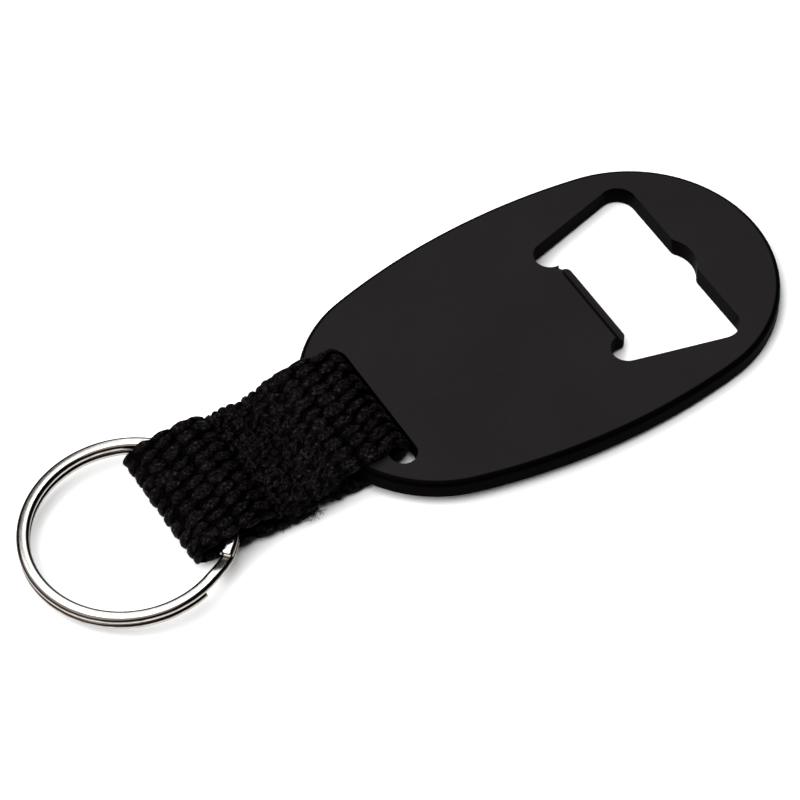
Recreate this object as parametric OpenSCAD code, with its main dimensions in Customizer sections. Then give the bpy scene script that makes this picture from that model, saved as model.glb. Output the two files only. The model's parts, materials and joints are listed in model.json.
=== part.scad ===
// Keychain bottle opener: a flat oval opener plate, a folded webbing strap and a split ring.
// Millimetres. The plate's underside lies in Z = 0 and its centre is the origin; the cap
// window is towards +X and the key ring towards -X.

/* [Plate] */
// Length of the opener plate, tip to bar end
plate_length = 72; // [68:1:78]
// Greatest width of the plate
plate_width = 43; // [42:0.5:46]
// Thickness of the plate
plate_thickness = 3; // [2.6:0.1:3.4]
// Radius of the rounded tip in plan
tip_radius = 20.4; // [19:0.1:20.9]
// Radius of the rounded bar end in plan
bar_end_radius = 18.9; // [17:0.1:20.5]
// Rounding of the top edge of the rim
rim_round_top = 0.8; // [0.4:0.1:1]
// Rounding of the bottom edge of the rim
rim_round_bottom = 0.3; // [0.1:0.1:0.5]

/* [Cap window] */
// Place of the window's edge nearest the tip
window_tip_x = 24.1; // [23:0.1:25]
// Width of the window at its tip edge, before the corners are rounded
window_tip_width = 32.8; // [31:0.1:33]
// How far each side of the window leans in, degrees
window_side_lean = 14.3; // [12:0.1:15]
// Radius of the two corners at the tip edge
window_corner_radius = 2.8; // [2:0.1:3.5]
// Place of the lifting lip's free edge
lip_edge_x = 9.45; // [8.8:0.05:10]
// Width of the lifting lip
lip_width = 15; // [13:0.5:15.5]
// Distance from the lip's free edge back to the top of its bevel
lip_reach = 2; // [1.6:0.1:2.4]
// Flat part of the lip's upper face, measured back from its free edge
lip_flat = 0.95; // [0.6:0.05:1.2]
// Thickness left at the lip
lip_thickness = 1.7; // [1.3:0.1:2]
// Radius of the relief pocket at each end of the lip
pocket_radius = 2.35; // [2.2:0.05:2.5]
// Depth of the shallow scallop in the middle of the tip edge
scallop_depth = 1.15; // [0.6:0.05:1.5]
// Radius of the scallop
scallop_radius = 4.5; // [4:0.1:6]

/* [Strap slot] */
// Length of the slot across the plate
slot_length = 22.2; // [21.6:0.1:24]
// Width of the slot
slot_width = 4; // [3.6:0.1:4.4]
// Place of the slot's edge nearest the window
slot_edge_x = -25.85; // [-27:0.05:-25]

/* [Webbing] */
// Width of the woven webbing
web_width = 20; // [18:0.1:20.4]
// Thickness of one ply of webbing
web_thickness = 1.3; // [1.1:0.05:1.4]
// How far the webbing sits off the centre line in its slot
web_offset_y = 1; // [0:0.1:1]
// Number of transverse rows of stitching
stitch_rows = 3; // [2:1:4]

/* [Split ring] */
// Outside diameter of the split ring
ring_diameter = 30; // [28:0.5:32]
// Radial width of the ring's flattened wire
wire_width = 1.75; // [1.4:0.05:1.9]
// Height of one turn of the wire
wire_height = 1.1; // [0.9:0.05:1.15]
// How far the ring droops below the strap's line, degrees
ring_droop = 3.7; // [2:0.1:5]

/* [Hidden] */
$fn = 96;
far = 200;           // longer than anything here, for cutting shapes
cut = 1;             // how far a cutter runs past the face that it cuts
hair = 0.05;         // running gap between cloth and metal

// Plate outline: two end arcs joined by one long side arc that touches both and the full width.
half_width = plate_width / 2;
tip_centre_x = plate_length / 2 - tip_radius;
bar_centre_x = bar_end_radius - plate_length / 2;
tip_drop = half_width - tip_radius;
bar_drop = half_width - bar_end_radius;
side_p = bar_drop * tip_centre_x - tip_drop * bar_centre_x;
side_q = bar_drop - tip_drop;
side_c = bar_drop * pow(tip_centre_x, 2) - tip_drop * pow(bar_centre_x, 2)
    + bar_drop * tip_drop * side_q;
side_x = side_c / (side_p + sqrt(pow(side_p, 2) - side_q * side_c));
side_radius = (pow(tip_centre_x - side_x, 2) + pow(half_width, 2) - pow(tip_radius, 2))
    / (2 * tip_drop);
side_y = half_width - side_radius;
tip_joint_angle = atan2(-side_y, tip_centre_x - side_x);
bar_joint_angle = atan2(-side_y, bar_centre_x - side_x);
core_half = bar_end_radius / 2;
seam_step = 0.02;    // the side arcs stand this proud, so no two surfaces meet as tangents

// Window: the side line's half width at a place along the plate.
function window_half(x) = window_tip_width / 2 - (window_tip_x - x) * tan(window_side_lean);
// Distance along the side line that a circle of radius r set at height y must lie from the tip edge.
function side_touch_x(r, y) =
    window_tip_x - (window_tip_width / 2 - y - r / cos(window_side_lean)) / tan(window_side_lean);
pocket_y = lip_width / 2 + pocket_radius;
pocket_x = side_touch_x(pocket_radius, pocket_y);
corner_x = window_tip_x - window_corner_radius;
corner_y = window_half(corner_x) - window_corner_radius / cos(window_side_lean);
lip_corner_radius = 0.9;
lip_bevel_x = lip_edge_x - lip_reach;
scallop_fillet = 1.2;
scallop_x = window_tip_x + scallop_depth - scallop_radius;
scallop_half = sqrt(pow(scallop_radius + scallop_fillet, 2)
    - pow(window_tip_x + scallop_fillet - scallop_x, 2));

// Slot
slot_x = slot_edge_x - slot_width / 2;

// Strap: the bar loop's turn stands in the slot, and the plies run back to the stitched middle.
bar_turn_radius = plate_thickness / 2 + hair + web_thickness;
bar_turn_x = slot_edge_x - 2 * hair - bar_turn_radius;
bar_loop_end_x = -plate_length / 2 - 1;
strap_plies = 3;
strap_thickness = strap_plies * web_thickness;
strap_z = 0.2;
knuckle_gap = 0.25;
swing_x = bar_loop_end_x - knuckle_gap - strap_thickness / 2;
strap_length = 8.1;
ring_swing_x = swing_x - strap_length;

// Ring: it lies through the ring loop and droops towards its far side.
ring_radius = ring_diameter / 2;
turn_gap = 0.04;
ring_height = 2 * wire_height;
ring_clearance = 0.1;
ring_inner_x = ring_swing_x - strap_thickness / 2 - 0.9;
ring_x = ring_inner_x - ring_radius * cos(ring_droop);
ring_y = web_offset_y - 0.65;
ring_z = 0.45;
crank_angle = -57;
crank_half = 12;
upper_end_angle = -51;
upper_sweep = 342;
lower_sweep = 330;
wire_round = 0.45;

// Ring loop: two plies and a full turn, open towards the strap.
ring_loop_height = ring_height + 2 * ring_clearance + 2 * web_thickness;
ring_loop_turn = ring_loop_height / 2;
ring_loop_outer_x = -60.2;
ring_loop_inner_x = ring_inner_x + 0.5;

// Stitches: short rods of thread that lie half sunk across the strap.
thread_diameter = 0.45;
stitch_length = 2.1;
stitch_pitch = 2.6;
stitch_count = floor(web_width / stitch_pitch);

// A disc with a rounded top and bottom edge, standing on Z = 0.
module rounded_disc(radius) {
    rotate_extrude($fn = 180)
        difference() {
            square([radius, plate_thickness]);
            rim_corner(radius, plate_thickness, rim_round_top, -1);
            rim_corner(radius, 0, rim_round_bottom, 1);
        }
}

// What a rounded edge takes off a square corner; side is 1 at the bottom edge and -1 at the top.
module rim_corner(radius, z, round_radius, side) {
    translate([radius - round_radius, z + side * round_radius])
        difference() {
            translate([0, side > 0 ? -2 * round_radius : 0])
                square(2 * round_radius);
            circle(round_radius, $fn = 48);
        }
}

// The part of a rounded disc that lies inside a flat outline.
module disc_piece(x, y, radius, outline) {
    intersection() {
        translate([x, y, 0])
            rounded_disc(radius);
        translate([0, 0, -cut])
            linear_extrude(plate_thickness + 2 * cut)
                polygon(outline);
    }
}

function ray(x, angle) = [x + far * cos(angle), far * sin(angle)];

// The four arc pieces of the outline, and a core block that joins them into one.
module plate_blank() {
    disc_piece(tip_centre_x, 0, tip_radius, [
        [tip_centre_x, 0],
        ray(tip_centre_x, -tip_joint_angle),
        [far, 0],
        ray(tip_centre_x, tip_joint_angle)
    ]);
    disc_piece(bar_centre_x, 0, bar_end_radius, [
        [bar_centre_x, 0],
        ray(bar_centre_x, bar_joint_angle),
        [-far, 0],
        ray(bar_centre_x, -bar_joint_angle)
    ]);
    for (side = [1, -1])
        disc_piece(side_x, side * side_y, side_radius + seam_step, [
            [bar_centre_x, 0],
            [tip_centre_x, 0],
            ray(tip_centre_x, side * tip_joint_angle),
            ray(bar_centre_x, side * bar_joint_angle)
        ]);
    translate([bar_centre_x - core_half, -core_half, 0])
        cube([tip_centre_x - bar_centre_x + 2 * core_half, 2 * core_half, plate_thickness]);
}

// Half of the window on the +Y side, without the scallop.
module window_half_outline() {
    side_normal = [-sin(window_side_lean), cos(window_side_lean)];
    polygon([
        [lip_edge_x, 0],
        [lip_edge_x, lip_width / 2 - lip_corner_radius],
        [lip_edge_x - lip_corner_radius, lip_width / 2],
        [pocket_x, lip_width / 2],
        [pocket_x, pocket_y] + pocket_radius * side_normal,
        [corner_x, corner_y] + window_corner_radius * side_normal,
        [window_tip_x, corner_y],
        [window_tip_x, 0]
    ]);
    translate([pocket_x, pocket_y])
        circle(pocket_radius);
    translate([corner_x, corner_y])
        circle(window_corner_radius);
}

module window_outline() {
    difference() {
        union() {
            window_half_outline();
            mirror([0, 1])
                window_half_outline();
            scallop_outline();
        }
        for (side = [1, -1])
            translate([lip_edge_x - lip_corner_radius, side * (lip_width / 2 - lip_corner_radius)])
                circle(lip_corner_radius);
    }
}

// The scallop with a small fillet where it leaves the tip edge.
module scallop_outline() {
    fillet_x = window_tip_x + scallop_fillet;
    touch = scallop_radius / (scallop_radius + scallop_fillet);
    touch_x = scallop_x + touch * (fillet_x - scallop_x);
    intersection() {
        translate([scallop_x, 0])
            circle(scallop_radius);
        translate([window_tip_x - cut, -scallop_half])
            square([far, 2 * scallop_half]);
    }
    difference() {
        translate([window_tip_x - cut, -scallop_half])
            square([touch_x - window_tip_x + cut, 2 * scallop_half]);
        for (side = [1, -1])
            translate([fillet_x, side * scallop_half])
                circle(scallop_fillet);
    }
}

// The bevel and flat that thin the lip from above.
module lip_recess() {
    rotate([90, 0, 0])
        linear_extrude(lip_width, center = true)
            polygon([
                [lip_bevel_x - cut * (lip_reach - lip_flat) / (plate_thickness - lip_thickness),
                    plate_thickness + cut],
                [lip_edge_x - lip_flat, lip_thickness],
                [lip_edge_x + cut, lip_thickness],
                [lip_edge_x + cut, plate_thickness + cut]
            ]);
}

// The slot with its full round ends, drawn smaller all round by a gap.
module slot_outline(gap = 0) {
    reach = slot_length / 2 - slot_width / 2;
    end_radius = slot_width / 2 - gap;
    for (side = [1, -1])
        translate([slot_x, side * reach])
            circle(end_radius);
    translate([slot_x - end_radius, -reach])
        square([2 * end_radius, 2 * reach]);
}

// Flat oval plate of black anodised aluminium: cap window, lifting lip and strap slot.
module opener_plate() {
    color("#1c1b1c")
        difference() {
            plate_blank();
            translate([0, 0, -cut])
                linear_extrude(plate_thickness + 2 * cut) {
                    window_outline();
                    slot_outline();
                }
            lip_recess();
        }
}

// A flat outline in X and Z, made as wide as the webbing.
module web_extrude() {
    translate([0, web_offset_y, 0])
        rotate([90, 0, 0])
            linear_extrude(web_width, center = true)
                children();
}

// A ply that goes out, turns back on a full half round, and returns; open at x = 0.
module u_turn_outline(length, outer_radius) {
    inner_radius = outer_radius - web_thickness;
    difference() {
        union() {
            translate([0, -outer_radius])
                square([length - outer_radius, 2 * outer_radius]);
            translate([length - outer_radius, 0])
                circle(outer_radius);
        }
        translate([-cut, -inner_radius])
            square([length - outer_radius + cut, 2 * inner_radius]);
        translate([length - outer_radius, 0])
            circle(inner_radius);
    }
}

// The part of the webbing that goes down through the slot and round the plate's bar. Its
// corners are pinched in where they pass the slot's round ends.
module webbing_bar_loop() {
    color("#17171a")
        difference() {
            web_extrude()
                translate([bar_loop_end_x, plate_thickness / 2])
                    u_turn_outline(bar_turn_x + bar_turn_radius - bar_loop_end_x, bar_turn_radius);
            translate([0, 0, -hair])
                linear_extrude(plate_thickness + 2 * hair)
                    difference() {
                        translate([slot_x - slot_width / 2, -slot_length])
                            square([slot_width, 2 * slot_length]);
                        slot_outline(hair);
                    }
        }
}

// The middle of the webbing, three plies sewn together, with a round end at each fold line.
module webbing_strap() {
    color("#17171a")
        web_extrude() {
            translate([ring_swing_x, strap_z - strap_thickness / 2])
                square([strap_length, strap_thickness]);
            for (x = [ring_swing_x, swing_x])
                translate([x, strap_z])
                    circle(strap_thickness / 2);
        }
}

// The end loop of the webbing, which the split ring hangs in.
module webbing_ring_loop() {
    color("#17171a")
        web_extrude()
            translate([ring_inner_x, ring_mid_z(ring_inner_x)])
                rotate(180 + ring_droop)
                    translate([ring_inner_x - ring_loop_inner_x, 0])
                        u_turn_outline(ring_loop_inner_x - ring_loop_outer_x, ring_loop_turn);
}

// Height of the ring's middle plane at a place along the object.
function ring_mid_z(x) = ring_z + (x - ring_x) * tan(ring_droop);

// Rows of thread across the strap, on its upper and lower faces.
module stitching() {
    row_pitch = (strap_length - 2 * thread_diameter) / (stitch_rows - 1);
    color("#222226")
        for (row = [0 : stitch_rows - 1])
            for (k = [0 : stitch_count - 1])
                for (side = [1, -1])
                    translate([
                        ring_swing_x + thread_diameter + row * row_pitch,
                        web_offset_y + (k - (stitch_count - 1) / 2) * stitch_pitch,
                        strap_z + side * strap_thickness / 2
                    ])
                        rotate([90, 0, 0])
                            cylinder(h = stitch_length, d = thread_diameter, center = true, $fn = 24);
}

// One arc of the flattened wire, from angle start through sweep, standing on Z = 0.
module wire_arc(start, sweep) {
    height = wire_height - turn_gap / 2;
    rotate([0, 0, start])
        rotate_extrude(angle = sweep, $fn = 180)
            translate([ring_radius - wire_width, 0]) {
                translate([wire_round, 0])
                    square([wire_width - 2 * wire_round, height]);
                translate([0, wire_round])
                    square([wire_width, height - 2 * wire_round]);
                for (x = [wire_round, wire_width - wire_round])
                    for (z = [wire_round, height - wire_round])
                        translate([x, z])
                            circle(wire_round, $fn = 32);
            }
}

// Nickel-plated split ring: two turns of flattened wire and the crank that joins them.
module split_ring() {
    climb = wire_height + turn_gap / 2;
    crank_tilt = atan(climb / (2 * (ring_radius - wire_width / 2) * sin(crank_half)));
    lower_start = crank_angle + crank_half;
    color("#c9c7c3")
        translate([ring_x, ring_y, ring_z])
            rotate([0, -ring_droop, 0]) {
                translate([0, 0, turn_gap / 2])
                    wire_arc(upper_end_angle, upper_sweep);
                translate([0, 0, -wire_height])
                    wire_arc(lower_start, lower_sweep);
                rotate([0, 0, crank_angle])
                    rotate([-crank_tilt, 0, 0])
                        translate([0, 0, -wire_height / 2])
                            wire_arc(-crank_half - 1, 2 * crank_half + 2);
            }
}

opener_plate();
webbing_bar_loop();
webbing_strap();
webbing_ring_loop();
stitching();
split_ring();
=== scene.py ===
import json
import math

import bmesh
import bpy
import numpy as np
from mathutils import Matrix, Vector


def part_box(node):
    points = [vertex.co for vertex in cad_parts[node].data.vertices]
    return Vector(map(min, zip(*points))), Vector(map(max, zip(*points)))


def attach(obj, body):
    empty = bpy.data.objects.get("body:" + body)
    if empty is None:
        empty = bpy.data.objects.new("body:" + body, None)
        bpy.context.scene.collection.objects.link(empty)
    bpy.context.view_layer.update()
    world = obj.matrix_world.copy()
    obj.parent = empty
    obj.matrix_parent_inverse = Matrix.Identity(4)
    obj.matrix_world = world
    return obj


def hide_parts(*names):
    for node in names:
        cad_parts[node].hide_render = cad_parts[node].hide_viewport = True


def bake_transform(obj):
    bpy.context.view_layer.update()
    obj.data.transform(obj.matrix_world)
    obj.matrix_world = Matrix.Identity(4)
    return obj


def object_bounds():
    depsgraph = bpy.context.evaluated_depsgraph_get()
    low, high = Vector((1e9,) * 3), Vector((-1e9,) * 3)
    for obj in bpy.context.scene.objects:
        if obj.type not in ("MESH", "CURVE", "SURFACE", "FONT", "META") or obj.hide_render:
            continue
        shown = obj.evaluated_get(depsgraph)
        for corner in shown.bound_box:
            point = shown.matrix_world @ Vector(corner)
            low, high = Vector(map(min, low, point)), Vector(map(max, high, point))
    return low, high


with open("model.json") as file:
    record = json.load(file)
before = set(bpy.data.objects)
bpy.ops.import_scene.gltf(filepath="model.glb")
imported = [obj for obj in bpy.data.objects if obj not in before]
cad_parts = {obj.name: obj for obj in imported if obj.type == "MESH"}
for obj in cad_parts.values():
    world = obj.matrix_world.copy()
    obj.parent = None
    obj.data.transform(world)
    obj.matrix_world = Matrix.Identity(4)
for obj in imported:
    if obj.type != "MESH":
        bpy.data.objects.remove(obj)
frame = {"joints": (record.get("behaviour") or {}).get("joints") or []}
cad_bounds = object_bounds()

# --- Camera -----------------------------------------------------------------------------
# A long lens looks down on the object from its front left, so the strap comes towards the
# lower left and the plate's tip points to the upper right.
MM = 0.001
view_azimuth = math.radians(-31.57)
view_elevation = math.radians(51.76)
view_distance = 546.9 * MM
camera_lens = 179.5
nearest_seen = 10 * MM
aim_shift_x = -0.27 * MM
aim_shift_y = 0.71 * MM

object_middle = (Vector(cad_bounds[0]) + Vector(cad_bounds[1])) / 2
aim = Vector((object_middle.x + aim_shift_x, object_middle.y + aim_shift_y, 0))
towards_camera = Vector((
    math.sin(view_azimuth) * math.cos(view_elevation),
    -math.cos(view_azimuth) * math.cos(view_elevation),
    math.sin(view_elevation),
))
camera = bpy.data.objects.new("camera", bpy.data.cameras.new("camera"))
camera.data.lens = camera_lens
camera.data.clip_start = nearest_seen
camera.location = aim + view_distance * towards_camera
camera.rotation_euler = towards_camera.to_track_quat("Z", "Y").to_euler()
bpy.context.scene.collection.objects.link(camera)
bpy.context.scene.camera = camera

# --- Floor and light --------------------------------------------------------------------
# A pale table top carries the object at two places, under the sewn webbing and near the
# plate's tip, and is tilted a little to meet both. Two soft boxes light it in a dim room.
plate_low, plate_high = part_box("opener_plate")
floor_size = 3.0
floor_drop = 2.1 * MM
web_contact_x = -43 * MM
tip_contact_x = plate_high.x - 4 * MM


def new_mesh_object(name, bm, finish=None):
    """Makes an object of a finished bmesh, and gives it a material if there is one yet."""
    mesh = bpy.data.meshes.new(name)
    bm.to_mesh(mesh)
    bm.free()
    made = bpy.data.objects.new(name, mesh)
    bpy.context.scene.collection.objects.link(made)
    if finish is not None:
        mesh.materials.append(finish)
    return made


class Value:
    """A shader value that Python's operators combine with Math nodes."""

    def __init__(self, tree, socket):
        self.tree = tree
        self.socket = socket

    def math(self, operation, *others):
        node = self.tree.nodes.new("ShaderNodeMath")
        node.operation = operation
        for slot, given in zip(node.inputs, (self, *others)):
            feed(self.tree, slot, given)
        return Value(self.tree, node.outputs[0])

    def __add__(self, other):
        return self.math("ADD", other)

    def __radd__(self, other):
        return self.math("ADD", other)

    def __sub__(self, other):
        return self.math("SUBTRACT", other)

    def __rsub__(self, other):
        return self.math("MULTIPLY", -1).math("ADD", other)

    def __mul__(self, other):
        return self.math("MULTIPLY", other)

    def __rmul__(self, other):
        return self.math("MULTIPLY", other)


def feed(tree, slot, given):
    """Links a shader value to a socket, or sets the socket to a plain number or colour."""
    if isinstance(given, Value):
        tree.links.new(given.socket, slot)
    else:
        slot.default_value = given


class Finish:
    """A material under construction round one Principled shader."""

    def __init__(self, name, **constants):
        self.material = bpy.data.materials.new(name)
        self.material.use_nodes = True
        self.tree = self.material.node_tree
        self.shader = self.tree.nodes["Principled BSDF"]
        for socket, number in constants.items():
            self.shader.inputs[socket.replace("_", " ")].default_value = number

    def node(self, kind, settings=None, output=None, **sockets):
        """Adds a node: its settings first, then its sockets' values, each a Value or a number.

        A list of values goes to the sockets of one name in turn. The node's first output is
        the one that counts, unless another is named.
        """
        node = self.tree.nodes.new("ShaderNode" + kind)
        for setting, choice in (settings or {}).items():
            if setting == "stops":
                set_stops(node, choice)
            else:
                setattr(node, setting, choice)
        for socket, given in sockets.items():
            name = socket.replace("_", " ")
            slots = [s for s in node.inputs if s.name == name and s.enabled]
            for slot, value in zip(slots, given if isinstance(given, list) else [given]):
                feed(self.tree, slot, value)
        outputs = [s for s in node.outputs if s.enabled and output in (None, s.name)]
        return Value(self.tree, outputs[0])

    def paint(self, **sockets):
        """Gives the Principled shader what changes over the surface."""
        for socket, given in sockets.items():
            feed(self.tree, self.shader.inputs[socket.replace("_", " ")], given)


def set_stops(node, stops):
    """Gives a colour ramp its stops: pairs of a place and a colour."""
    ramp = node.color_ramp.elements
    while len(ramp) < len(stops):
        ramp.new(0.5)
    for element, (place, colour) in zip(ramp, stops):
        element.position = place
        element.color = colour


table_top = Finish("pale_table", Roughness=0.7, Specular_IOR_Level=0.2)
table_top.paint(Base_Color=(0.92, 0.92, 0.92, 1))

floor_mesh = bmesh.new()
bmesh.ops.create_grid(floor_mesh, x_segments=1, y_segments=1, size=floor_size / 2)
floor_slope = math.atan2(floor_drop, tip_contact_x - web_contact_x)
bmesh.ops.rotate(
    floor_mesh,
    cent=(0, 0, 0),
    matrix=Matrix.Rotation(-floor_slope, 3, "Y"),
    verts=floor_mesh.verts,
)
bmesh.ops.translate(
    floor_mesh,
    vec=(tip_contact_x, 0, plate_low.z),
    verts=floor_mesh.verts,
)
floor = new_mesh_object("floor", floor_mesh, table_top.material)


def soft_box(name, direction, distance, size, power):
    """A square area light that faces the object."""
    light = bpy.data.lights.new(name, "AREA")
    light.shape = "SQUARE"
    light.size = size
    light.energy = power
    made = bpy.data.objects.new(name, light)
    made.location = aim + distance * direction.normalized()
    made.rotation_euler = direction.to_track_quat("Z", "Y").to_euler()
    bpy.context.scene.collection.objects.link(made)


mirror_of_camera = Vector((-towards_camera.x, -towards_camera.y, towards_camera.z))
soft_box("back_box", mirror_of_camera, distance=1.0, size=0.45, power=1.8)
soft_box("top_box", Vector((-0.5, 0.1, 1)), distance=0.7, size=0.95, power=14.5)

room = bpy.data.worlds.new("room")
room.use_nodes = True
room.node_tree.nodes["Background"].inputs["Color"].default_value = (0.8, 0.8, 0.82, 1)
room.node_tree.nodes["Background"].inputs["Strength"].default_value = 0.04
bpy.context.scene.world = room
bpy.context.scene.view_settings.view_transform = "Standard"

# --- Opener plate -----------------------------------------------------------------------
# Flat oval blank of 3 mm aluminium, punched and machined, then anodised black. The top of
# its rim is rounded over, and the window and the slot have a fine broken edge.
tip_radius = 20.4 * MM
bar_end_radius = 18.9 * MM
rim_round_top = 0.8 * MM
rim_round_bottom = 0.3 * MM
window_tip_x = 24.1 * MM
window_tip_half = 16.4 * MM
window_side_lean = math.radians(14.3)
window_corner_radius = 2.8 * MM
lip_edge_x = 9.45 * MM
lip_half = 7.5 * MM
lip_corner_radius = 0.9 * MM
lip_reach = 2 * MM
lip_flat = 0.95 * MM
lip_thickness = 1.7 * MM
pocket_radius = 2.35 * MM
scallop_depth = 1.15 * MM
scallop_radius = 4.5 * MM
scallop_fillet = 1.2 * MM
slot_half = 11.1 * MM
slot_width = 4 * MM
slot_edge_x = -25.85 * MM
edge_break = 0.22 * MM
sharp_angle = math.radians(40)
rim_segments_top = 7
rim_segments_bottom = 4
steps_per_turn = 120
longest_step = 0.7 * MM
weld = 0.005 * MM
overshoot = 1 * MM


def arc_on(bm, start, centre, degrees):
    """Draws an arc from a vertex about a centre and returns the arc's last vertex.

    Its steps are short both in angle and in length, so large arcs stay round too.
    """
    radius = math.hypot(start.co.x - centre[0], start.co.y - centre[1])
    turns = abs(degrees) / 360
    arc_length = 2 * math.pi * radius * turns
    steps = max(2, round(turns * steps_per_turn), round(arc_length / longest_step))
    made = bmesh.ops.spin(
        bm,
        geom=[start],
        cent=(centre[0], centre[1], 0),
        axis=(0, 0, 1),
        angle=math.radians(degrees),
        steps=steps,
    )
    return [v for v in made["geom_last"] if isinstance(v, bmesh.types.BMVert)][0]


def line_on(bm, start, x, y):
    """Draws a straight edge from a vertex to a point and returns the new vertex."""
    end = bm.verts.new((x, y, 0))
    bm.edges.new((start, end))
    return end


def raise_outline(bm, bottom, top):
    """Fills a closed outline and makes it a block between two heights."""
    bmesh.ops.remove_doubles(bm, verts=bm.verts, dist=weld)
    bmesh.ops.contextual_create(bm, geom=bm.edges)
    lifted = bmesh.ops.extrude_face_region(bm, geom=bm.faces[:])
    bmesh.ops.translate(
        bm,
        vec=(0, 0, top - bottom),
        verts=[v for v in lifted["geom"] if isinstance(v, bmesh.types.BMVert)],
    )
    bmesh.ops.translate(bm, vec=(0, 0, bottom), verts=bm.verts)
    bmesh.ops.recalc_face_normals(bm, faces=bm.faces)


def plate_blank():
    """The oval: a round tip and a round bar end, joined by long arcs tangent to both."""
    half_length = (plate_high.x - plate_low.x) / 2
    half_width = (plate_high.y - plate_low.y) / 2
    tip_centre = half_length - tip_radius
    bar_centre = bar_end_radius - half_length
    tip_drop = half_width - tip_radius
    bar_drop = half_width - bar_end_radius

    # The side arcs' centre along X follows from their two tangencies, by a quadratic equation.
    square = bar_drop - tip_drop
    linear = bar_drop * tip_centre - tip_drop * bar_centre
    constant = bar_drop * tip_centre**2 - tip_drop * bar_centre**2 + bar_drop * tip_drop * square
    side_x = constant / (linear + math.sqrt(linear * linear - square * constant))
    side_radius = ((tip_centre - side_x) ** 2 + half_width**2 - tip_radius**2) / (2 * tip_drop)
    side_y = half_width - side_radius
    tip_angle = math.degrees(math.atan2(-side_y, tip_centre - side_x))
    bar_angle = math.degrees(math.atan2(-side_y, bar_centre - side_x))

    bm = bmesh.new()
    pen = bm.verts.new((half_length, 0, 0))
    pen = arc_on(bm, pen, (tip_centre, 0), tip_angle)
    pen = arc_on(bm, pen, (side_x, side_y), bar_angle - tip_angle)
    pen = arc_on(bm, pen, (bar_centre, 0), 2 * (180 - bar_angle))
    pen = arc_on(bm, pen, (side_x, -side_y), bar_angle - tip_angle)
    arc_on(bm, pen, (tip_centre, 0), tip_angle)
    raise_outline(bm, plate_low.z, plate_high.z)
    for height, radius, segments in (
        (plate_high.z, rim_round_top, rim_segments_top),
        (plate_low.z, rim_round_bottom, rim_segments_bottom),
    ):
        rim = [e for e in bm.edges if all(abs(v.co.z - height) < weld for v in e.verts)]
        bmesh.ops.bevel(
            bm,
            geom=rim,
            offset=radius,
            segments=segments,
            profile=0.5,
            affect="EDGES",
            material=-1,
        )
    return new_mesh_object("opener_plate_shell", bm)


def window_cutter():
    """The window's block: half of its outline is drawn on the +Y side and mirrored."""
    pocket_y = lip_half + pocket_radius
    lean_slope = math.tan(window_side_lean)
    lean_cosine = math.cos(window_side_lean)
    pocket_clear = window_tip_half - pocket_y - pocket_radius / lean_cosine
    pocket_x = window_tip_x - pocket_clear / lean_slope
    corner_x = window_tip_x - window_corner_radius
    corner_y = window_tip_half - window_corner_radius * (lean_slope + 1 / lean_cosine)
    outwards = Vector((-math.sin(window_side_lean), lean_cosine))
    fillet_x = window_tip_x + scallop_fillet
    scallop_x = window_tip_x + scallop_depth - scallop_radius
    scallop_half = math.sqrt((scallop_radius + scallop_fillet) ** 2 - (fillet_x - scallop_x) ** 2)
    scallop_angle = math.degrees(math.atan2(scallop_half, fillet_x - scallop_x))
    lean_angle = 90 + math.degrees(window_side_lean)

    bm = bmesh.new()
    pen = bm.verts.new((lip_edge_x, 0, 0))
    pen = line_on(bm, pen, lip_edge_x, lip_half - lip_corner_radius)
    pen = arc_on(
        bm, pen, (lip_edge_x - lip_corner_radius, lip_half - lip_corner_radius), 90
    )
    pen = line_on(bm, pen, pocket_x, lip_half)
    pen = arc_on(bm, pen, (pocket_x, pocket_y), lean_angle - 270)
    corner = Vector((corner_x, corner_y)) + window_corner_radius * outwards
    pen = line_on(bm, pen, corner.x, corner.y)
    pen = arc_on(bm, pen, (corner_x, corner_y), -lean_angle)
    pen = line_on(bm, pen, window_tip_x, scallop_half)
    pen = arc_on(bm, pen, (fillet_x, scallop_half), scallop_angle)
    arc_on(bm, pen, (scallop_x, 0), -scallop_angle)
    half = bm.verts[:] + bm.edges[:]
    bmesh.ops.mirror(bm, geom=half, axis="Y", merge_dist=weld)
    raise_outline(bm, plate_low.z - overshoot, plate_high.z + overshoot)
    return new_mesh_object("window_cutter", bm)


def slot_cutter():
    """The slot's block, with half-round ends."""
    slot_x = slot_edge_x - slot_width / 2
    reach = slot_half - slot_width / 2
    bm = bmesh.new()
    pen = bm.verts.new((slot_edge_x, -reach, 0))
    pen = line_on(bm, pen, slot_edge_x, reach)
    pen = arc_on(bm, pen, (slot_x, reach), 180)
    pen = line_on(bm, pen, slot_x - slot_width / 2, -reach)
    arc_on(bm, pen, (slot_x, -reach), 180)
    raise_outline(bm, plate_low.z - overshoot, plate_high.z + overshoot)
    return new_mesh_object("slot_cutter", bm)


def lip_cutter():
    """The bevel and the flat that thin the lip from above, drawn from its side."""
    lip_top = plate_low.z + lip_thickness
    bevel_run = lip_reach - lip_flat
    bevel_rise = plate_high.z - lip_top
    bevel_top_x = lip_edge_x - lip_reach - bevel_run * overshoot / bevel_rise
    profile = [
        (bevel_top_x, -lip_half, plate_high.z + overshoot),
        (lip_edge_x - lip_flat, -lip_half, lip_top),
        (lip_edge_x + overshoot, -lip_half, lip_top),
        (lip_edge_x + overshoot, -lip_half, plate_high.z + overshoot),
    ]
    bm = bmesh.new()
    side = bm.faces.new([bm.verts.new(point) for point in profile])
    pulled = bmesh.ops.extrude_face_region(bm, geom=[side])
    bmesh.ops.translate(
        bm,
        vec=(0, 2 * lip_half, 0),
        verts=[v for v in pulled["geom"] if isinstance(v, bmesh.types.BMVert)],
    )
    bmesh.ops.recalc_face_normals(bm, faces=bm.faces)
    return new_mesh_object("lip_cutter", bm)


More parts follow.
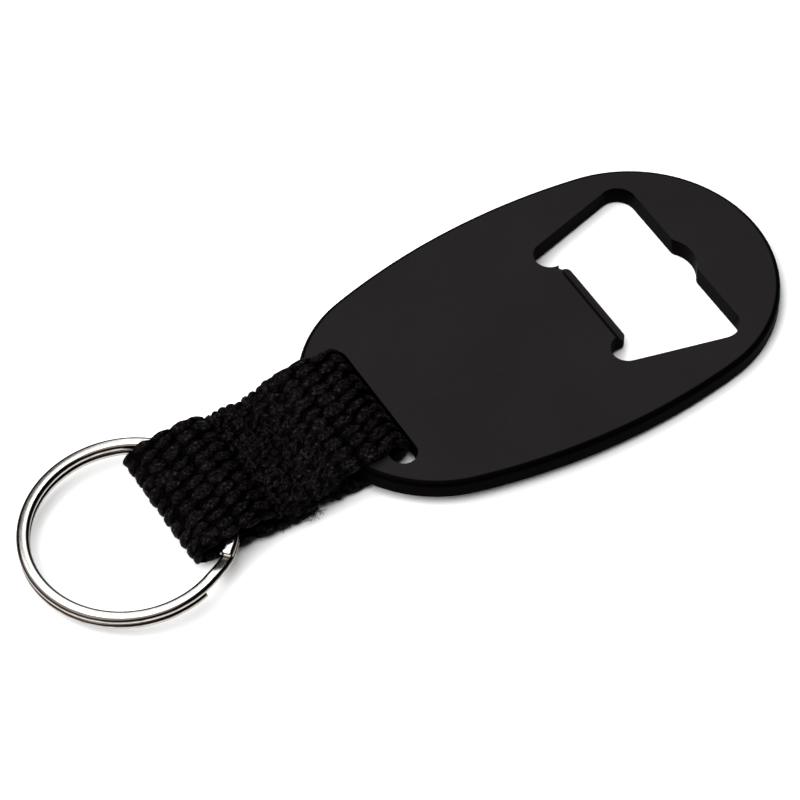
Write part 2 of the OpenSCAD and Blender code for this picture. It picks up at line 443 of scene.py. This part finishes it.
def settle_modifiers(piece):
    """Makes a piece's modifiers part of its mesh."""
    graph = bpy.context.evaluated_depsgraph_get()
    finished = bpy.data.meshes.new_from_object(piece.evaluated_get(graph))
    piece.modifiers.clear()
    piece.data = finished


opener_plate = plate_blank()
for cutter in (window_cutter(), slot_cutter(), lip_cutter()):
    cut = opener_plate.modifiers.new(cutter.name, "BOOLEAN")
    cut.operation = "DIFFERENCE"
    cut.solver = "EXACT"
    cut.object = cutter
    settle_modifiers(opener_plate)
    bpy.data.objects.remove(cutter)
opener_plate.data.shade_smooth()
broken_edge = opener_plate.modifiers.new("broken_edge", "BEVEL")
broken_edge.width = edge_break
broken_edge.segments = 2
broken_edge.limit_method = "ANGLE"
broken_edge.angle_limit = sharp_angle
flat_faces = opener_plate.modifiers.new("flat_faces", "WEIGHTED_NORMAL")
flat_faces.weight = 100
settle_modifiers(opener_plate)

# The rounded rim, the broken edges and the walls are painted darker than the two broad faces,
# as painted shade, so each face corner keeps how steep it is: 0 where the plate is level and 1 on
# an upright wall.
wall = opener_plate.data.attributes.new("wall", "FLOAT", "CORNER")
for loop, normal in zip(wall.data, opener_plate.data.corner_normals):
    loop.value = 1 - abs(normal.vector.z)

anodised = Finish("black_anodised", Specular_IOR_Level=0.004)
place = anodised.node("TexCoord", output="Object")
grain = anodised.node("TexNoise", Vector=place, Scale=2600, Detail=3, Roughness=0.6)
cloud = anodised.node("TexNoise", Vector=place, Scale=70, Detail=2)
steep = anodised.node("Attribute", {"attribute_name": "wall"}, output="Fac")
# Painted shade: the base colour drops to a tenth on the slightest slope, to three hundredths on
# the rim's rounding and back to a tenth on upright walls.
painted_wall_shade = anodised.node(
    "ValToRGB",
    {
        "stops": [
            (0.002, (1, 1, 1, 1)),
            (0.04, (0.1, 0.08, 0.08, 1)),
            (0.7, (0.03, 0.02, 0.02, 1)),
            (1.0, (0.1, 0.075, 0.075, 1)),
        ]
    },
    Fac=steep,
)
top_colour = anodised.node(
    "ValToRGB",
    {"stops": [(0.3, (0.0096, 0.0085, 0.009, 1)), (0.7, (0.0124, 0.0112, 0.0118, 1))]},
    Fac=0.5 * cloud + 0.5 * grain,
)
anodised.paint(
    Base_Color=anodised.node(
        "VectorMath", {"operation": "MULTIPLY"}, Vector=[top_colour, painted_wall_shade]
    ),
    Roughness=0.4 + 0.08 * cloud,
    Normal=anodised.node("Bump", Strength=0.05, Distance=0.02 * MM, Height=grain),
)
opener_plate.data.materials.clear()
opener_plate.data.materials.append(anodised.material)
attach(opener_plate, "opener")
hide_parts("opener_plate")

# --- Webbing ----------------------------------------------------------------------------
# One length of 20 mm black nylon webbing, woven thick with coarse lengthwise yarns. It goes
# down through the slot and round the bar, then round the key ring, and is sewn where it
# overlaps. It is made as two pieces that meet under the stitching, one for each fold line.
web_width = 20 * MM
web_thickness = 1.3 * MM
web_middle_y = 1 * MM
web_round = web_thickness / 2
web_grid = 0.14 * MM
web_weld = 0.002 * MM

# The weave: yarns that come up in turn, a little unevenly, each of a few loose strands.
yarn_rows = 10
yarn_pick = 2.85 * MM
yarn_height = 0.6 * MM
yarn_level = 0.78
yarn_scatter = 0.16
yarn_sway = 0.12
sway_length = 6 * MM
strand_share = 0.08
strand_width = 0.5 * MM

# The seam: the yarns are pulled down between small tight knots.
seam_end_x = -36.6 * MM
seam_fade = 1.2 * MM
seam_knot = 1.15 * MM
knot_scatter = 0.6
seam_lift = 0.05
knots_up = 0.75
yarns_down = 0.65

# The strip wanders a little sideways, and the slot's end gathers it and tucks its edge in.
edge_wander = 0.22 * MM
wander_length = 5 * MM
tuck = 0.9 * MM
tuck_from = -31.5 * MM
tuck_run = 2.5 * MM

# The middle of the webbing's thickness as it bends, in millimetres along X and Z.
bar_loop_path = [
    (-43.5, 1.75), (-41.5, 1.75), (-39.5, 2.1), (-37.5, 3.0), (-35.5, 3.8), (-32.5, 4.0),
    (-30.0, 3.85), (-28.8, 3.7), (-27.4, 3.2), (-26.6, 1.5), (-27.4, -0.2), (-28.8, -0.72),
    (-32.0, -0.8), (-36.0, -0.75), (-38.5, -0.4), (-41.0, 0.3), (-43.0, 0.35), (-45.2, 0.25),
]
ring_loop_path = [
    (-43.5, 1.75), (-45.0, 1.5), (-46.6, 1.3), (-48.2, 2.1), (-49.8, 3.0), (-51.8, 3.2),
    (-54.5, 2.95), (-57.0, 2.6), (-58.8, 2.0), (-59.55, 0.8), (-58.8, -0.4), (-57.0, -0.85),
    (-54.0, -0.8), (-51.0, -0.6), (-49.0, -0.6), (-47.0, -0.9), (-45.0, -1.05), (-41.2, -1.1),
]


def smooth_line(points):
    """A smooth line through the points of a path, with the length run at each of its places."""
    given = np.array(points) * MM
    ends = np.vstack([2 * given[0] - given[1], given, 2 * given[-1] - given[-2]])
    t = np.linspace(0, 1, 40, endpoint=False)[:, None]
    spans = []
    for a, b, c, d in zip(ends, ends[1:], ends[2:], ends[3:]):
        slope = c - a
        bend = 2 * a - 5 * b + 4 * c - d
        twist = 3 * b - a - 3 * c + d
        spans.append(0.5 * (2 * b + slope * t + bend * t**2 + twist * t**3))
    line = np.vstack(spans + [given[-1:]])
    along = np.concatenate([[0], np.cumsum(np.linalg.norm(np.diff(line, axis=0), axis=1))])
    return line, along


def ripple(a, b, seed, scale):
    """Smooth irregular waves over two directions, between about -1 and 1."""
    dice = np.random.default_rng(seed)
    total = np.zeros_like(a)
    for _ in range(9):
        angle, phase = dice.uniform(0, 2 * math.pi, 2)
        length = scale * dice.uniform(0.7, 1.6)
        along = a * math.cos(angle) + b * math.sin(angle)
        total += np.sin(2 * math.pi * along / length + phase)
    return total / 4


def chance(column, line, salt):
    """A scrambled number between 0 and 1 that is fixed for each bump of the weave."""
    return np.mod(np.sin(12.9898 * column + 78.233 * line + salt) * 43758.5, 1)


def uneven(column, line, salt):
    """A factor between 0.85 and 1.15 that is fixed for each bump of the weave."""
    return 0.85 + 0.3 * chance(column, line, salt)


def yarn_bumps(s, v, row, pick, loose, salt):
    """Height of woven yarns that come up in turn, from 0 in a gap to about 1 on a crown.

    Here s runs along the strip and v across it. The bumps are two picks apart along s, in
    lines half a row apart in v, and every other line is moved on by a pick.
    """
    height = np.zeros_like(s)
    for shift in (0, 1):
        for beside in (-1, 0, 1):
            column = np.round(s / pick / 2 - shift / 2) * 2 + shift
            line = np.round(v / row - shift / 2) + shift / 2 + beside
            ds = s - column * pick - loose * pick * (chance(column, line, salt) - 0.5)
            dv = v - line * row - loose * row * (chance(column, line, salt + 1) - 0.5)
            dv = dv - (0.1 + 0.5 * loose * chance(column, line, salt + 2)) * ds
            long = 0.64 * pick * uneven(column, line, salt + 3)
            wide = 0.53 * row * uneven(column, line, salt + 4)
            crown = np.clip(1 - (ds / long) ** 2 - (dv / wide) ** 2, 0, 1) ** 0.55
            height = np.maximum(height, crown * uneven(column, line, salt + 5))
    return height


def webbing(name, path, onward, sewn):
    """A strip of webbing, wide and round-edged, bent along a path in X and Z.

    It starts at the seam and leaves it towards +X (onward 1) or -X (onward -1), and it is
    sewn flat between two places along X. Returns the piece and the strip's length.
    """
    line, along = smooth_line(path)
    length = along[-1]
    flat_width = web_width - 2 * web_round
    round_way = math.pi * web_round
    girth = 2 * (flat_width + round_way)
    bm = bmesh.new()
    bmesh.ops.create_grid(
        bm,
        x_segments=round(length / web_grid),
        y_segments=round(girth / web_grid),
        size=0.5,
        calc_uvs=True,
    )

    # One way over the grid runs along the strip, by s. The other goes once round its section,
    # by p: over one face and its edge, and then back over the other face and the other edge.
    flat = np.array([v.co for v in bm.verts])
    s = (flat[:, 0] + 0.5) * length
    p = (flat[:, 1] + 0.5) * girth
    half_round = np.minimum(np.floor(p / girth * 2), 1)
    q = p - half_round * girth / 2
    side = 1 - 2 * half_round
    on_round = np.clip((q - flat_width) / round_way, 0, 1) * math.pi
    across = side * (np.minimum(q, flat_width) - flat_width / 2 + web_round * np.sin(on_round))
    up = side * web_round * np.cos(on_round)
    out_across = side * np.sin(on_round)
    out_up = side * np.cos(on_round)
    x_here = np.interp(s, along, line[:, 0])
    z_here = np.interp(s, along, line[:, 1])

    # The weave runs on through the seam, so it is measured from the seam on both pieces. The
    # strip's two faces have their own bumps, and its round edges pass from one to the other.
    woven = onward * s
    in_seam = np.clip((x_here - sewn[0]) / seam_fade, 0, 1)
    in_seam = in_seam * np.clip((sewn[1] - x_here) / seam_fade, 0, 1)
    row = web_width / yarn_rows
    swayed = across + yarn_sway * row * ripple(woven, across, 1, sway_length)
    above = 0.5 + 0.5 * side * np.cos(on_round)
    upper = yarn_bumps(woven, swayed, row, yarn_pick, yarn_scatter, 3.0)
    lower = yarn_bumps(woven + yarn_pick, swayed, row, yarn_pick, yarn_scatter, 5.0)
    weave = above * upper + (1 - above) * lower
    knots = yarn_bumps(woven, swayed, seam_knot, seam_knot, knot_scatter, 8.0)
    strands = ripple(0.45 * woven + 0.2 * across, across, 2, strand_width)
    sewn_down = in_seam * (seam_lift + knots_up * knots - yarns_down * weave)
    height = weave + sewn_down + strand_share * strands
    grow = yarn_height * (height - yarn_level)
    wander = edge_wander * ripple(woven, 0 * s, 4, wander_length)
    in_slot = np.clip((x_here - tuck_from) / tuck_run, 0, 1)
    wander += tuck * in_slot * np.clip(-across / (web_width / 2), 0, 1) ** 2
    across = across + out_across * grow + wander
    up = up + out_up * grow

    # The section is set square to the path at each place along it.
    ahead = np.gradient(line, along, axis=0)
    tx = np.interp(s, along, ahead[:, 0])
    tz = np.interp(s, along, ahead[:, 1])
    size = np.hypot(tx, tz)
    placed = np.column_stack([
        x_here - onward * tz / size * up,
        web_middle_y + across,
        z_here + onward * tx / size * up,
    ])
    crown_layer = bm.verts.layers.float.new("crown")
    for vert, co, crown in zip(bm.verts, placed, height):
        vert.co = co
        vert[crown_layer] = crown
    bmesh.ops.remove_doubles(bm, verts=bm.verts, dist=web_weld)
    bmesh.ops.holes_fill(bm, edges=[e for e in bm.edges if e.is_boundary], sides=0)
    bmesh.ops.recalc_face_normals(bm, faces=bm.faces)
    for face in bm.faces:
        face.smooth = True
    return new_mesh_object(name, bm), length


nylon = Finish("black_webbing", Specular_IOR_Level=0.01)
weave_map = nylon.node("TexCoord", output="UV")
filament = nylon.node(
    "TexNoise",
    Vector=nylon.node("Mapping", Vector=weave_map, Scale=(34, 140, 1), Rotation=(0, 0, 0.2)),
    Scale=1,
    Detail=3,
    Roughness=0.6,
)
place = nylon.node("TexCoord", output="Object")
fuzz = nylon.node("TexNoise", Vector=place, Scale=2500, Detail=3, Roughness=0.7)
crown = nylon.node("Attribute", {"attribute_name": "crown"}, output="Fac")
on_yarn = nylon.node(
    "MapRange",
    {"interpolation_type": "SMOOTHSTEP"},
    Value=crown,
    From_Min=0.2,
    From_Max=0.8,
)

# The gaps between the yarns are painted black as painted shade, and the crowns lighter. On a
# yarn's crown fine painted highlights stand for single filaments catching the light.
speck = 0.65 * filament + 0.35 * fuzz
nylon.paint(
    Base_Color=nylon.node(
        "ValToRGB",
        {
            "stops": [
                (0.3, (0.0001, 0.0001, 0.0001, 1)),
                (0.55, (0.0008, 0.0004, 0.0005, 1)),
                (0.8, (0.0056, 0.0043, 0.0048, 1)),
                (1.0, (0.027, 0.024, 0.026, 1)),
            ]
        },
        # Painted shade in the gaps from the crown height, painted highlights from the filament
        # specks.
        Fac=0.55 * on_yarn + 4.4 * (speck - 0.5) + 0.12,
    ),
    Roughness=0.5 - 0.3 * speck,
    Normal=nylon.node("Bump", Strength=1.0, Distance=0.4 * MM, Height=speck),
)

web_bar_half, bar_length = webbing(
    "webbing_bar_half", bar_loop_path, onward=1, sewn=(-46.0 * MM, seam_end_x)
)
web_ring_half, ring_length = webbing(
    "webbing_ring_half", ring_loop_path, onward=-1, sewn=(-47.4 * MM, seam_end_x)
)
for half in (web_bar_half, web_ring_half):
    half.data.materials.append(nylon.material)
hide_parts("webbing_bar_loop", "webbing_strap")
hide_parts("webbing_ring_loop")
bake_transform(web_bar_half)
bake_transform(web_ring_half)

# --- Sewing thread ----------------------------------------------------------------------
# Black polyester thread in rows across the strap, above and below. Each stitch lies on the
# webbing for a millimetre and a half and dives into it at both ends. The rows lie over the
# fold at the bar, and each row sits at the webbing's height where it lies.
thread_radius = 0.14 * MM
stitch_length = 1.5 * MM
stitch_rows_x = (-43.5 * MM, -40.9 * MM, -38.4 * MM)
stitches_in_row = 15
stitch_pitch = 1.22 * MM
stitch_off_row = 0.2 * MM
stitch_lean = 0.35
lean_scatter = 0.5
stitch_bow = 0.2 * MM
sunk_above = 0.17 * MM
sunk_below = 0.12 * MM
under_ply_z = ring_loop_path[-1][1] * MM


def stitch(bm, x, y, z, lean, rise):
    """One stitch: a thin rod bowed up in its middle, leaning a little off the row."""
    already = len(bm.verts)
    bmesh.ops.create_cone(
        bm,
        cap_ends=True,
        segments=8,
        radius1=thread_radius,
        radius2=thread_radius,
        depth=stitch_length,
    )
    bm.verts.ensure_lookup_table()
    made = bm.verts[already:]
    edges = {e for v in made for e in v.link_edges}
    sides = [e for e in edges if abs(e.verts[0].co.z - e.verts[1].co.z) > thread_radius]
    bmesh.ops.subdivide_edges(bm, edges=sides, cuts=5, use_grid_fill=True)
    bm.verts.ensure_lookup_table()
    rod = bm.verts[already:]
    for vert in rod:
        bow = 1 - (2 * vert.co.z / stitch_length) ** 2
        vert.co = Vector((vert.co.x, vert.co.z, vert.co.y + rise * bow))
    bmesh.ops.rotate(bm, cent=(0, 0, 0), matrix=Matrix.Rotation(lean, 3, "Z"), verts=rod)
    bmesh.ops.translate(bm, vec=(x, y, z), verts=rod)


def web_top(x):
    """Height of the webbing's upper face over the sewn part."""
    points = sorted(bar_loop_path[:4] + ring_loop_path[:3])
    xs = [point[0] * MM for point in points]
    zs = [point[1] * MM for point in points]
    return float(np.interp(x, xs, zs)) + web_round


dice = np.random.default_rng(11)
bm = bmesh.new()
for row_x in stitch_rows_x:
    for k in range(stitches_in_row):
        y = web_middle_y + (k - (stitches_in_row - 1) / 2) * stitch_pitch
        x = row_x + dice.uniform(-stitch_off_row, stitch_off_row)
        lean = stitch_lean * (-1) ** k + dice.uniform(-lean_scatter, lean_scatter)
        stitch(bm, x, y, web_top(row_x) - sunk_above, lean, stitch_bow)
        stitch(bm, x, y, under_ply_z - web_round + sunk_below, lean, -stitch_bow)
bmesh.ops.recalc_face_normals(bm, faces=bm.faces)
for face in bm.faces:
    face.smooth = True
thread = Finish("black_thread", Roughness=0.5, Specular_IOR_Level=0.02)
place = thread.node("TexCoord", output="Object")
twist = thread.node("TexNoise", Vector=place, Scale=3000, Detail=2)
thread.paint(
    Base_Color=thread.node(
        "ValToRGB",
        {"stops": [(0.3, (0.0009, 0.0007, 0.0008, 1)), (0.8, (0.0064, 0.0058, 0.0062, 1))]},
        Fac=twist,
    ),
    Normal=thread.node("Bump", Strength=0.5, Distance=0.05 * MM, Height=twist),
)
stitches = new_mesh_object("stitches", bm, thread.material)
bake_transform(stitches)
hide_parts("stitching")

# --- Loose fibres -----------------------------------------------------------------------
# Fine filaments of the webbing that work loose: along the seam, along the strap's near edge
# and out of the cut end of the lowest layer, which frays past the seam. They are fixed where
# they come out of the cloth and curl off from there.
fibre_radius = 0.028 * MM
fibre_step = 0.24 * MM
seam_fibres = 130
seam_half_width = 9.4 * MM
off_row = 0.7 * MM
edge_fibres = 60
edge_from_x = -46 * MM
edge_to_x = -36 * MM
frayed_side_fibres = 50
frayed_length = 6 * MM
cut_end_fibres = 90
cut_end_width = 19.5 * MM
root_depth = 0.2 * MM
half_ply = 0.5 * MM
near_edge_y = web_middle_y - web_width / 2
cut_end_x = ring_loop_path[-1][0] * MM
cut_end_z = under_ply_z


def loose_fibre(curve, start, heading, lift, steps):
    """One filament that wanders off from a point and bends a little at every step.

    It climbs at first, by its lift, and then sinks again.
    """
    spline = curve.splines.new("POLY")
    spline.points.add(steps - 1)
    at = Vector(start)
    turn = dice.normal(0, 0.35)
    for k, point in enumerate(spline.points):
        point.co = (*at, 1)
        heading += turn + dice.normal(0, 0.3)
        climb = lift * (1 - 2.2 * k / steps)
        at += fibre_step * Vector((math.cos(heading), math.sin(heading), climb))


fibres = bpy.data.curves.new("loose_fibres", "CURVE")
fibres.dimensions = "3D"
fibres.bevel_depth = fibre_radius
fibres.bevel_resolution = 0

# Along the rows of the seam, in every direction.
for _ in range(seam_fibres):
    x = dice.choice(stitch_rows_x) + dice.normal(0, off_row)
    y = web_middle_y + dice.uniform(-seam_half_width, seam_half_width)
    heading = dice.uniform(0, 2 * math.pi)
    loose_fibre(fibres, (x, y, web_top(x) - root_depth / 2), heading, 0.5, dice.integers(6, 13))

# Down the near edge of the sewn layers.
for _ in range(edge_fibres):
    x = dice.uniform(edge_from_x, edge_to_x)
    y = near_edge_y + dice.uniform(-0.1, 0.5) * MM
    z = web_top(x) - dice.uniform(0.1, 1) * MM
    loose_fibre(fibres, (x, y, z), dice.uniform(-2.4, -0.7), 0.3, dice.integers(4, 9))

# Along the near edge of the lowest layer, back from its cut end.
for _ in range(frayed_side_fibres):
    x = cut_end_x - dice.uniform(0, frayed_length)
    start = (x, near_edge_y + root_depth, cut_end_z + dice.uniform(-half_ply, half_ply))
    loose_fibre(fibres, start, dice.normal(-1.0, 0.5), 0.1, dice.integers(4, 9))

# Out of the cut end, over its whole width.
for _ in range(cut_end_fibres):
    y = near_edge_y + dice.uniform(-0.1 * MM, cut_end_width)
    start = (cut_end_x - root_depth, y, cut_end_z + dice.uniform(-half_ply, half_ply))
    loose_fibre(fibres, start, dice.normal(-0.3, 0.5), 0.1, dice.integers(4, 8))

tangle = bpy.data.objects.new("fibre_curves", fibres)
bpy.context.scene.collection.objects.link(tangle)
bpy.context.view_layer.update()
bm = bmesh.new()
bm.from_mesh(tangle.to_mesh())
bpy.data.objects.remove(tangle)
bmesh.ops.recalc_face_normals(bm, faces=bm.faces)
loose_fibres = new_mesh_object("loose_fibres", bm, thread.material)
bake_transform(loose_fibres)

# --- Split ring -------------------------------------------------------------------------
# Flattened spring-steel wire wound in two turns, one on the other, with a short crank where
# one turn climbs to the next, and nickel plated. The flat faces keep the nickel's bright colour;
# the flanks are painted dark as painted shade, with a painted highlight line where they bulge
# most. It hangs in the end loop.
ring_spin = [j for j in frame["joints"] if j["name"] == "ring_spin"][0]
ring_centre = Vector(ring_spin["pos_m"])
ring_axis = Vector(ring_spin["axis"])
ring_low, ring_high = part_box("split_ring")
ring_radius = (ring_high.y - ring_low.y) / 2
wire_width = 1.8 * MM
wire_height = 1.08 * MM
wire_corner = 0.52 * MM
corner_steps = 6
ring_weld = 0.002 * MM
turn_gap = 0.04 * MM

# Angles round the ring in degrees, from +X towards +Y.
upper_end = -51
lower_end = -75
crank_from = -69
crank_to = -45
wire_step = 2


def wire_profile():
    """The wire's rounded section, drawn as a closed curve."""
    curve = bpy.data.curves.new("wire_profile", "CURVE")
    curve.dimensions = "2D"
    outline = []
    for quarter, (sx, sy) in enumerate(((1, 1), (-1, 1), (-1, -1), (1, -1))):
        for k in range(corner_steps + 1):
            angle = math.pi / 2 * (quarter + k / corner_steps)
            outline.append((
                sx * (wire_width / 2 - wire_corner) + wire_corner * math.cos(angle),
                sy * (wire_height / 2 - wire_corner) + wire_corner * math.sin(angle),
            ))
    spline = curve.splines.new("POLY")
    spline.points.add(len(outline) - 1)
    for point, (x, y) in zip(spline.points, outline):
        point.co = (x, y, 0, 1)
    spline.use_cyclic_u = True
    made = bpy.data.objects.new("wire_profile", curve)
    bpy.context.scene.collection.objects.link(made)
    return made


def split_ring_piece():
    """The wire's section swept down through two turns, and the ring set in its place."""
    profile = wire_profile()
    curve = bpy.data.curves.new("split_ring", "CURVE")
    curve.dimensions = "3D"
    curve.twist_mode = "Z_UP"
    curve.bevel_mode = "OBJECT"
    curve.bevel_object = profile
    curve.use_fill_caps = True
    crank_begin = crank_from + 360
    crank_end = crank_to + 360
    finish = lower_end + 2 * 360
    rise = (wire_height + turn_gap) / 2
    middle = ring_radius - wire_width / 2
    angles = np.arange(upper_end, finish + wire_step / 20, wire_step)
    spline = curve.splines.new("POLY")
    spline.points.add(len(angles) - 1)
    for point, angle in zip(spline.points, angles):
        through = min(1, max(0, (angle - crank_begin) / (crank_end - crank_begin)))
        step = through * through * (3 - 2 * through)
        turn = math.radians(angle)
        point.co = (
            middle * math.cos(turn),
            middle * math.sin(turn),
            rise * (1 - 2 * step),
            1,
        )
    wire = bpy.data.objects.new("split_ring_wire", curve)
    bpy.context.scene.collection.objects.link(wire)
    bpy.context.view_layer.update()
    graph = bpy.context.evaluated_depsgraph_get()
    bm = bmesh.new()
    bm.from_mesh(bpy.data.meshes.new_from_object(wire.evaluated_get(graph)))
    bpy.data.objects.remove(wire)
    bpy.data.objects.remove(profile)
    bmesh.ops.remove_doubles(bm, verts=bm.verts, dist=ring_weld)
    bmesh.ops.recalc_face_normals(bm, faces=bm.faces)

    # How far each point is from the middle of the wire's width: 0 there and 1 at its sides.
    flank_layer = bm.verts.layers.float.new("flank")
    for vert in bm.verts:
        from_middle = abs(math.hypot(vert.co.x, vert.co.y) - middle)
        vert[flank_layer] = from_middle / (wire_width / 2)
    tilt = Vector((0, 0, 1)).rotation_difference(ring_axis).to_matrix()
    bmesh.ops.rotate(bm, cent=(0, 0, 0), matrix=tilt, verts=bm.verts)
    bmesh.ops.translate(bm, vec=ring_centre, verts=bm.verts)
    for face in bm.faces:
        face.smooth = len(face.verts) == 4
    return new_mesh_object("split_ring_wire", bm)


nickel = Finish("bright_nickel", Metallic=1.0)
place = nickel.node("TexCoord", output="Object")
drawn_line = nickel.node("TexNoise", Vector=place, Scale=900, Detail=3)
flank = nickel.node("Attribute", {"attribute_name": "flank"}, output="Fac")
# Base colour: nickel on the flat faces, painted shade on the flanks and a painted highlight line
# where they bulge most, all set by the flank attribute.
nickel.paint(
    Base_Color=nickel.node(
        "ValToRGB",
        {
            "stops": [
                (0.32, (0.72, 0.7, 0.67, 1)),
                (0.54, (0.055, 0.047, 0.042, 1)),
                (0.96, (0.055, 0.047, 0.042, 1)),
                (0.99, (0.45, 0.42, 0.39, 1)),
            ]
        },
        Fac=flank + 0.06 * (drawn_line - 0.5),
    ),
    Roughness=0.1 + 0.1 * drawn_line,
)
ring_piece = split_ring_piece()
ring_piece.data.materials.append(nickel.material)
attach(ring_piece, "ring")
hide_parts("split_ring")
